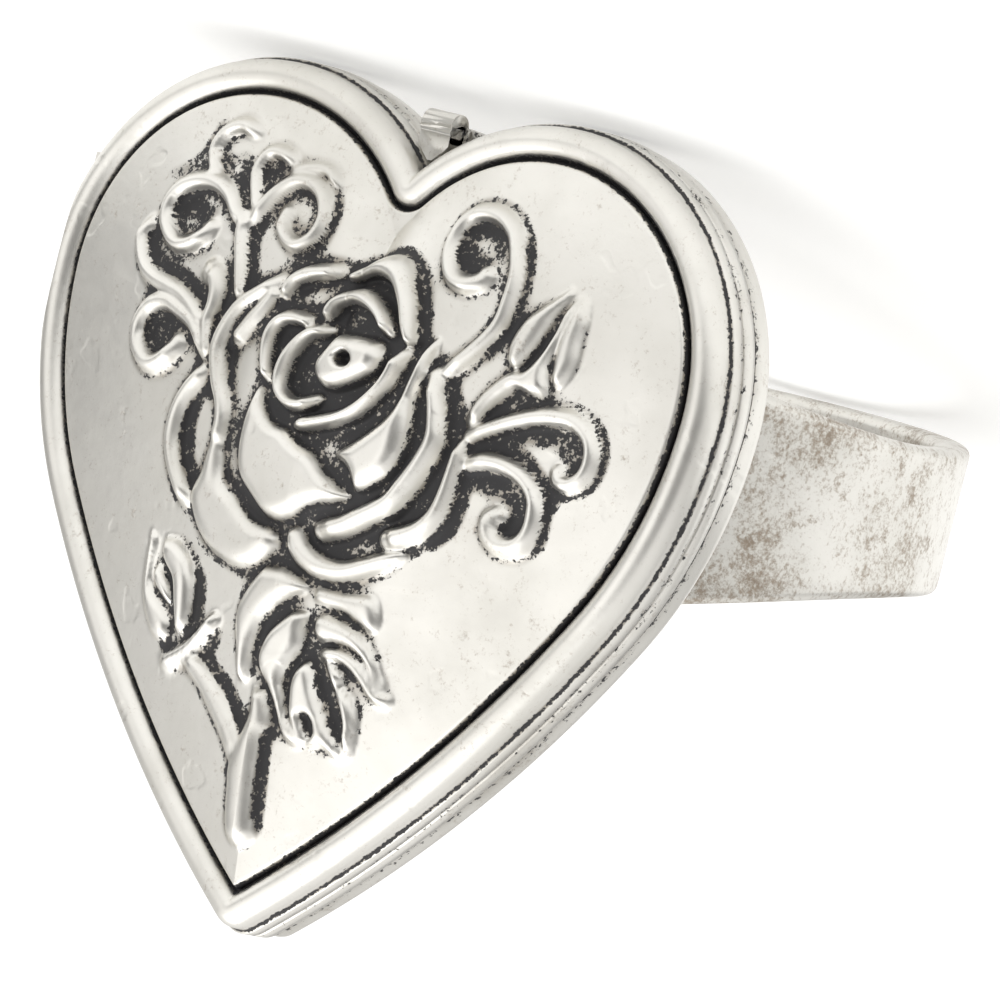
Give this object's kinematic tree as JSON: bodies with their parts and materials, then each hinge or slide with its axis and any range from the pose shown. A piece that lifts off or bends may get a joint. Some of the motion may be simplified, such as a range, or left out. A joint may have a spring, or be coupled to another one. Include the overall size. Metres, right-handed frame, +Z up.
{
  "type": "poison ring",
  "caption": "Heart locket ring lying on its side, cleft down: a domed lid with a rose and scroll relief, hinged to a shallow tray on a plain tapering band.",
  "frame": {"origin": "middle of the footprint box of the ring as it lies on both lobes and the band's edge, at the height of the surface it rests on", "axes": "+Z up, with the heart's point uppermost; the lid's face looks towards -Y and a little up; +X to the right seen from the front"},
  "size_m": [0.0248, 0.0248, 0.0241],
  "materials": {
    "antiqued_silver_body": "antiqued silver plate, polished, with brownish tarnish speckle on the band",
    "antiqued_silver_lid": "antiqued silver plate, polished on the high points and oxidised charcoal in the groove and recesses",
    "steel_pin": "drawn wire"
  },
  "bodies": {
    "ring": {"ring_body": "antiqued_silver_body", "hinge_pin": "steel_pin"},
    "locket_lid": {"lid": "antiqued_silver_lid"}
  },
  "joints": [
    {"name": "lid_hinge", "type": "hinge", "parent": "ring", "child": "locket_lid", "pos_m": [0.01186, -0.00908, 0.00723], "axis": [0, 0.2789, 0.9603], "range_deg": [0, 150]}
  ]
}
